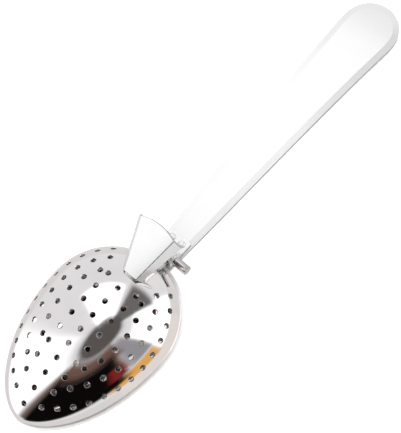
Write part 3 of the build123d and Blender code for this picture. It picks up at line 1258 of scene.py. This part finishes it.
@dataclass(frozen=True)
class Hinge:
    """The saddle on the neck, its rivets, the pin with its head and cap, and the spring."""

    settling: Settling
    neck_half: float = 3.8
    sheet: float = 0.7
    fold_round: float = 0.55
    saddle_round: float = 0.1
    saddle: tuple[float, float] = (-17.9, -9.3)
    eye_radius: float = 1.45
    boss_radius: float = 1.2
    boss_sink: float = 0.2
    channel: tuple[float, float] = (5.0, 20.0)
    bore: tuple[float, float] = (-9.0, 9.0)
    pin_radius: float = 0.9
    play: float = 0.01
    head_start: float = 4.5
    head_gap: float = 0.28
    head_radius: float = 1.35
    head_length: float = 4.7
    head_round: float = 0.16
    cap_bore: float = 3.2
    rivet: Vector = at(-11.0, 1.8, 0)
    rivet_radius: float = 0.7
    rivet_head: tuple[float, float] = (1.1, 0.45)
    rivet_step: float = 0.02
    rivet_round: float = 0.04
    rivet_dome: float = 0.93
    dome_rings: tuple[tuple[float, float], ...] = ((0.35, 0.35), (0.65, 0.3), (0.85, 0.2), (1.0, 0.1))
    shank: float = 1.8
    wire: float = 0.25
    wire_round: float = 0.06
    coil_radius: float = 1.5
    coil_pitch: float = 0.55
    coil_turns: float = 5.21
    coil_sides: int = 32
    coil_start: float = -1.75
    lower_leg: float = 3.0
    lower_fall: float = 14.5
    upper_leg: float = 10.2

    def bracket(self) -> None:
        """The saddle, folded up from sheet into two ears with a boss on each."""
        pin = self.settling.pin
        front, back = self.saddle
        outline = [
            *eye(pin, self.eye_radius, 0, 180, 20),
            Vector((front, 0, self.sheet)),
            Vector((front, 0, 0)),
            Vector((back, 0, 0)),
            Vector((back, 0, self.sheet)),
            Vector((pin.x + 2 * self.eye_radius, 0, self.sheet)),
        ]
        bracket = Bench.plate("saddle", outline, self.neck_half)
        Bench.edit(bracket)
        Bench.pick(bracket, Part.EDGE, self.is_fold)
        bpy.ops.mesh.bevel(offset=self.fold_round, segments=5, affect="EDGES")
        Bench.close(bracket)
        inner = self.neck_half - self.sheet
        past, top = self.channel
        low, high = Vector((front - past, -inner, self.sheet)), Vector((back + past, inner, top))
        Bench.cut(bracket, Bench.slab("channel", low, high))
        for way in (-1, 1):
            ends = (way * (self.neck_half - self.boss_sink), way * self.head_start)
            Bench.cut(bracket, Bench.rod("boss", self.boss_radius, ends, pin), Cut.JOIN)
        Bench.cut(bracket, Bench.rod("bore", self.pin_radius, self.bore, pin))
        Bench.soften(bracket, self.saddle_round)
        SADDLE_POLISH.dress(bracket)
        self.settling.settle(bracket, "hinge_saddle", Body.SPOON, "hinge_bracket")

    def is_fold(self, line: bmesh.types.BMEdge) -> bool:
        """Whether an edge is one of the two that the saddle's sides are folded up along."""
        flat = all(abs(corner.co.z) < 1e-3 for corner in line.verts)
        return flat and abs(line.verts[0].co.x - line.verts[1].co.x) > 1.0

    def pin(self) -> None:
        """The pin: its shaft, a neck at the boss and a long round head on the -Y side."""
        place = self.settling.pin
        ends = (-self.head_start - self.head_gap, self.head_start + self.cap_bore)
        shaft = Bench.rod("shaft", self.pin_radius - self.play, ends, place)
        head_ends = (-self.head_start - self.head_length, -self.head_start - self.head_gap)
        head = Bench.rod("head", self.head_radius, head_ends, place, sides=64)
        Bench.cut(shaft, head, Cut.JOIN)
        Bench.soften(shaft, self.head_round, segments=4)
        PIN_POLISH.dress(shaft)
        self.settling.settle(shaft, "hinge_pin_headed", Body.SPOON, "hinge_pin")

    def cap(self) -> None:
        """The cap pressed on the pin's +Y end."""
        place = self.settling.pin
        ends = (self.head_start, self.head_start + self.head_length)
        cap = Bench.rod("cap", self.head_radius, ends, place, sides=64)
        ends = (0, self.head_start + self.cap_bore + 2 * self.play)
        bore = Bench.rod("bore", self.pin_radius, ends, place)
        Bench.cut(cap, bore)
        Bench.soften(cap, self.head_round, segments=4)
        HINGE_POLISH.dress(cap)
        self.settling.settle(cap, "pin_end_cap", Body.SPOON, "pin_cap")

    def rivets(self) -> None:
        """Two domed rivets through the saddle and the neck."""
        rivets = Bench.join("rivets", [self.one_rivet(way * self.rivet.y) for way in (-1, 1)])
        Bench.soften(rivets, self.rivet_round, segments=2, angle=50.0)
        SADDLE_POLISH.dress(rivets)
        self.settling.settle(rivets, "saddle_rivets", Body.SPOON, "bracket_rivets")

    def one_rivet(self, y: float) -> Shape:
        """One rivet: a shank, and a head that is domed ring by ring.

        Args:
            y: How far to the side it stands.

        Returns:
            The rivet.
        """
        low, high = -self.shank, self.sheet
        middle = (self.rivet.x, y, (low + high) / 2)
        rivet = Bench.cylinder("rivet", self.rivet_radius, high - low, middle, 32)
        Bench.edit(rivet)
        Bench.pick(rivet, Part.FACE, lambda face: face.normal.z > 0.9)
        radius, rise = self.rivet_head
        widen = radius / self.rivet_radius
        Bench.extrude((0, 0, self.rivet_step))
        Bench.stretch(widen, widen, 1, (self.rivet.x, y, 0))
        before = 0.0
        for share, step in self.dome_rings:
            wide, narrow = (math.sqrt(1 - (self.rivet_dome * part) ** 2) for part in (before, share))
            Bench.extrude((0, 0, rise * step))
            Bench.stretch(narrow / wide, narrow / wide, 1, (self.rivet.x, y, 0))
            before = share
        Bench.close(rivet)
        return rivet

    def coil_place(self) -> Matrix:
        """From the coil's own frame, where it winds up +Z, to the spoon's.

        Returns:
            The move.
        """
        fall = math.radians(self.lower_fall)
        along = Vector((-math.sin(fall), 0, -math.cos(fall)))
        up = Vector((0, 1, 0))
        side = up.cross(along)
        turned = Matrix((along, side, up)).transposed().to_4x4()
        start = Vector((self.settling.pin.x, self.coil_start, self.settling.pin.z))
        return Matrix.Translation(start) @ turned

    def wire_end(self, angle: float) -> tuple[Vector, Vector]:
        """One end of the coil.

        Args:
            angle: How far round the coil.

        Returns:
            Where the wire is there, and which way it runs.
        """
        climb = self.coil_pitch / (2 * math.pi)
        place = Vector((math.cos(angle), math.sin(angle), 0)) * self.coil_radius
        place.z = climb * angle
        way = Vector((-math.sin(angle) * self.coil_radius, math.cos(angle) * self.coil_radius, climb))
        return place, way.normalized()

    def leg(self, name: str, place: Vector, way: Vector, length: float) -> Shape:
        """A straight stretch of wire with a rounded tip.

        Args:
            name: The new shape's name.
            place: Where it starts, in the coil's own frame.
            way: Which way it runs.
            length: How long it is.

        Returns:
            The stretch of wire.
        """
        turn = way.to_track_quat("Z", "Y").to_euler()
        shape = Bench.cylinder(name, self.wire, length, place + way * length / 2, 16, turn)
        Bench.soften(shape, self.wire_round, segments=2)
        return shape

    def spring(self) -> None:
        """The coil with its lower leg, and the upper leg that rises with the lever."""
        Bench.clear()
        bpy.ops.mesh.primitive_circle_add(
            vertices=16,
            radius=self.wire,
            location=(self.coil_radius, 0, 0),
            rotation=(math.pi / 2, 0, 0),
            fill_type="NGON",
        )
        coil = Bench.added("coil")
        turn = 2 * math.pi * self.coil_turns
        steps = round(self.coil_sides * self.coil_turns)
        Bench.finish_with(
            coil,
            "SCREW",
            angle=turn,
            screw_offset=self.coil_pitch * self.coil_turns,
            steps=steps,
            render_steps=steps,
            axis="Z",
            use_merge_vertices=False,
            use_normal_calculate=True,
        )
        Bench.edit(coil)
        Bench.close(coil)
        Bench.shade(coil)
        start, way = self.wire_end(0.0)
        lower = self.leg("lower_leg", start, -way, self.lower_leg)
        end, way = self.wire_end(turn)
        upper = self.leg("upper_leg", end, way, self.upper_leg)
        coil = Bench.join("coil", [coil, lower])
        for shape in (coil, upper):
            shape.data.transform(self.coil_place())
            WIRE_POLISH.dress(shape)
        self.settling.settle(coil, "spring_coil", Body.SPOON, "return_spring")
        self.settling.settle(upper, "spring_lever_leg", Body.LID)


@dataclass(frozen=True)
class Card:
    """A panel of the studio, as a patch of a dome, that only reflections see.

    Azimuth is in degrees from +X towards +Y. The lower edge may slant from one side to the other.
    """

    name: str
    azimuth: tuple[float, float]
    low: tuple[float, float]
    high: float
    colour: Triple
    feather: float
    radius: float
    spare: float = 2.0

    def near(self, azimuth: float) -> float:
        """The same azimuth, within half a turn of the panel's middle."""
        middle = sum(self.azimuth) / 2
        return middle + (azimuth - middle + 180) % 360 - 180

    def weight(self, azimuth: float, elevation: float) -> float:
        """How solid the panel is in a direction, from 0 at its feathered edge to 1.

        Args:
            azimuth: The direction's azimuth in degrees.
            elevation: Its height above the horizon in degrees.

        Returns:
            The share of the panel's colour that is seen.
        """
        first, last = self.azimuth
        azimuth = self.near(azimuth)
        across = min(max((azimuth - first) / (last - first), 0.0), 1.0)
        floor = self.low[0] + (self.low[1] - self.low[0]) * across
        inside = min(azimuth - first, last - azimuth, elevation - floor, self.high - elevation)
        return smooth_step(inside / self.feather)

    def build(self) -> None:
        """Cut the panel out of a dome, and give it its glow."""
        Bench.clear()
        bpy.ops.mesh.primitive_uv_sphere_add(segments=120, ring_count=60, radius=self.radius)
        panel = Bench.added(f"card_{self.name}")
        Bench.edit(panel)
        Bench.pick(panel, Part.FACE, lambda face: self.outside(face.calc_center_median()))
        bpy.ops.mesh.delete(type="FACE")
        bpy.ops.object.mode_set(mode="OBJECT")
        glow = panel.data.attributes.new("glow", "FLOAT", "POINT")
        for corner, entry in zip(panel.data.vertices, glow.data):
            entry.value = self.weight(*self.direction(corner.co))
        panel.data.materials.append(self.material())
        for ray in ("camera", "diffuse", "shadow", "transmission", "volume_scatter"):
            setattr(panel, f"visible_{ray}", False)

    @staticmethod
    def direction(point: Vector) -> tuple[float, float]:
        """A point's azimuth and elevation, in degrees."""
        return math.degrees(math.atan2(point.y, point.x)), math.degrees(math.asin(point.normalized().z))

    def outside(self, point: Vector) -> bool:
        """Whether a face of the dome is clear of the panel.

        Args:
            point: The face's middle.

        Returns:
            Whether it is.
        """
        azimuth, elevation = self.direction(point)
        return not (
            self.azimuth[0] - self.spare <= self.near(azimuth) <= self.azimuth[1] + self.spare
            and min(self.low) - self.spare <= elevation <= self.high + self.spare
        )

    def material(self) -> bpy.types.Material:
        """Make the panel's glow.

        Returns:
            A material that fades out towards the panel's edges.
        """
        made = bpy.data.materials.new(f"card_{self.name}")
        wiring = Wiring(made)
        made.cycles.emission_sampling = "NONE"
        wiring.tree.nodes.clear()
        edge = wiring.add("Attribute")
        edge.attribute_name = "glow"
        blend = wiring.add("MixShader")
        wiring.link(edge, "Fac", blend, "Fac")
        wiring.link(wiring.add("BsdfTransparent"), "BSDF", blend, 1)
        wiring.link(wiring.add("Emission", Color=(*self.colour, 1)), "Emission", blend, 2)
        wiring.link(blend, "Shader", wiring.add("OutputMaterial"), "Surface")
        return made


@dataclass(frozen=True)
class Studio:
    """The pale floor, the soft light, the panels round the spoon, and the camera."""

    azimuth: float = -10.6
    elevation: float = 69.9
    roll: float = -39.5
    aim: Vector = at(-0.0015, -0.0002, 0.0093)
    distance: float = 0.8
    picture_height: float = 0.1189
    sensor: float = 36.0
    floor_half: float = 12.0
    sky: tuple[Triple, float] = ((0.90, 0.90, 0.905), 2.6)
    lamp_place: Triple = (0.35, 0.45, 1.3)
    lamp_size: float = 1.3
    lamp_energy: float = 21.0
    cards: tuple[Card, ...] = (
        Card("surround", (-200, 200), (-100, -100), 100, (0.87, 0.86, 0.87), 1.0, 1.4),
        Card("table", (-200, 200), (-100, -100), -1, (0.80, 0.77, 0.775), 5.0, 1.3),
        Card("cream", (-112, -30), (-60, -60), 4, (0.90, 0.83, 0.79), 10.0, 1.27),
        Card("overhead", (-200, 200), (77, 77), 100, (0.11, 0.098, 0.094), 4.0, 1.0),
        Card("brown_band", (-190, -88), (60, 60), 82, (0.17, 0.095, 0.075), 6.0, 1.04),
        Card("dark_figure", (-188, -95), (-8, 16), 72, (0.004, 0.003, 0.003), 8.0, 1.03),
        Card("rust", (-108, -92), (36, 36), 78, (0.20, 0.10, 0.075), 6.0, 1.1),
        Card("red", (-110, -95), (30, 30), 54, (0.22, 0.020, 0.018), 4.0, 1.02),
        Card("amber", (-114, -74), (4, -6), 32, (0.85, 0.45, 0.13), 7.0, 1.15),
        Card("cool_gap", (-98, -72), (28, 28), 80, (0.34, 0.33, 0.36), 7.0, 1.12),
        Card("right_box", (-78, -14), (3, 1), 71, (1.9, 1.9, 1.9), 6.0, 1.2),
        Card("grey_gap", (-26, 24), (34, 42), 90, (0.16, 0.15, 0.15), 10.0, 1.17),
        Card("top_box", (25, 84), (48, 48), 82, (1.8, 1.8, 1.8), 5.0, 0.98),
        Card("left_window", (98, 168), (-12, -6), 80, (1.7, 1.7, 1.7), 16.0, 1.25),
        Card("back_shade", (160, 190), (-4, -4), 80, (0.16, 0.115, 0.10), 12.0, 1.24),
    )

    def floor(self) -> None:
        """A wide, plain, pale floor."""
        Bench.clear()
        bpy.ops.mesh.primitive_plane_add(size=2 * self.floor_half)
        ground = Bench.added("floor")
        paint = bpy.data.materials.new("pale_floor")
        pale = (0.93, 0.93, 0.93, 1)
        Wiring(paint).set("Principled BSDF", Base_Color=pale, Roughness=0.9, Specular_IOR_Level=0.1)
        ground.data.materials.append(paint)
        ground.visible_glossy = False

    def light(self) -> None:
        """An even sky and one large soft light, which keep the floor nearly white."""
        sky = bpy.data.worlds.new("sky")
        colour, strength = self.sky
        Wiring(sky).set("Background", Color=(*colour, 1), Strength=strength)
        bpy.context.scene.world = sky
        Bench.clear()
        bpy.ops.object.light_add(type="AREA", location=self.lamp_place)
        lamp = bpy.context.object
        lamp.data.shape = "DISK"
        lamp.data.size = self.lamp_size
        lamp.data.energy = self.lamp_energy
        lamp.rotation_mode = "QUATERNION"
        lamp.rotation_quaternion = lamp.location.to_track_quat("Z", "Y")
        lamp.visible_glossy = False

    def camera(self) -> None:
        """The camera, high over the handle's right side, with the spoon running corner to corner."""
        turn, rise = math.radians(self.azimuth), math.radians(self.elevation)
        back = Vector((math.sin(turn) * math.cos(rise), -math.cos(turn) * math.cos(rise), math.sin(rise)))
        Bench.clear()
        bpy.ops.object.camera_add(location=self.aim + back * self.distance)
        camera = bpy.context.object
        camera.rotation_mode = "QUATERNION"
        level = (-back).to_track_quat("-Z", "Y")
        camera.rotation_quaternion = level @ Matrix.Rotation(math.radians(self.roll), 3, "Z").to_quaternion()
        camera.data.sensor_width = self.sensor
        camera.data.lens = self.sensor * self.distance / self.picture_height
        camera.data.clip_end = 20.0
        bpy.context.scene.camera = camera
        bpy.context.scene.view_settings.view_transform = "Standard"

    def build(self) -> None:
        """Set up the whole studio."""
        self.camera()
        self.floor()
        self.light()
        for card in self.cards:
            card.build()


def main() -> None:
    """Build every piece, then the studio, and report each step."""
    logging.basicConfig(level=logging.INFO, format="%(name)s: %(message)s")
    settling = Settling()
    shells = Shells(Egg(), Punch(), settling)
    Studio().build()
    LOG.info("the studio is set")
    shells.bowl()
    shells.lid()
    Handle(shells, settling).build()
    lever = Lever(shells, settling)
    lever.fan()
    lever.yoke()
    hinge = Hinge(settling)
    hinge.bracket()
    hinge.pin()
    hinge.cap()
    hinge.rivets()
    hinge.spring()


if __name__ == "__main__":
    main()
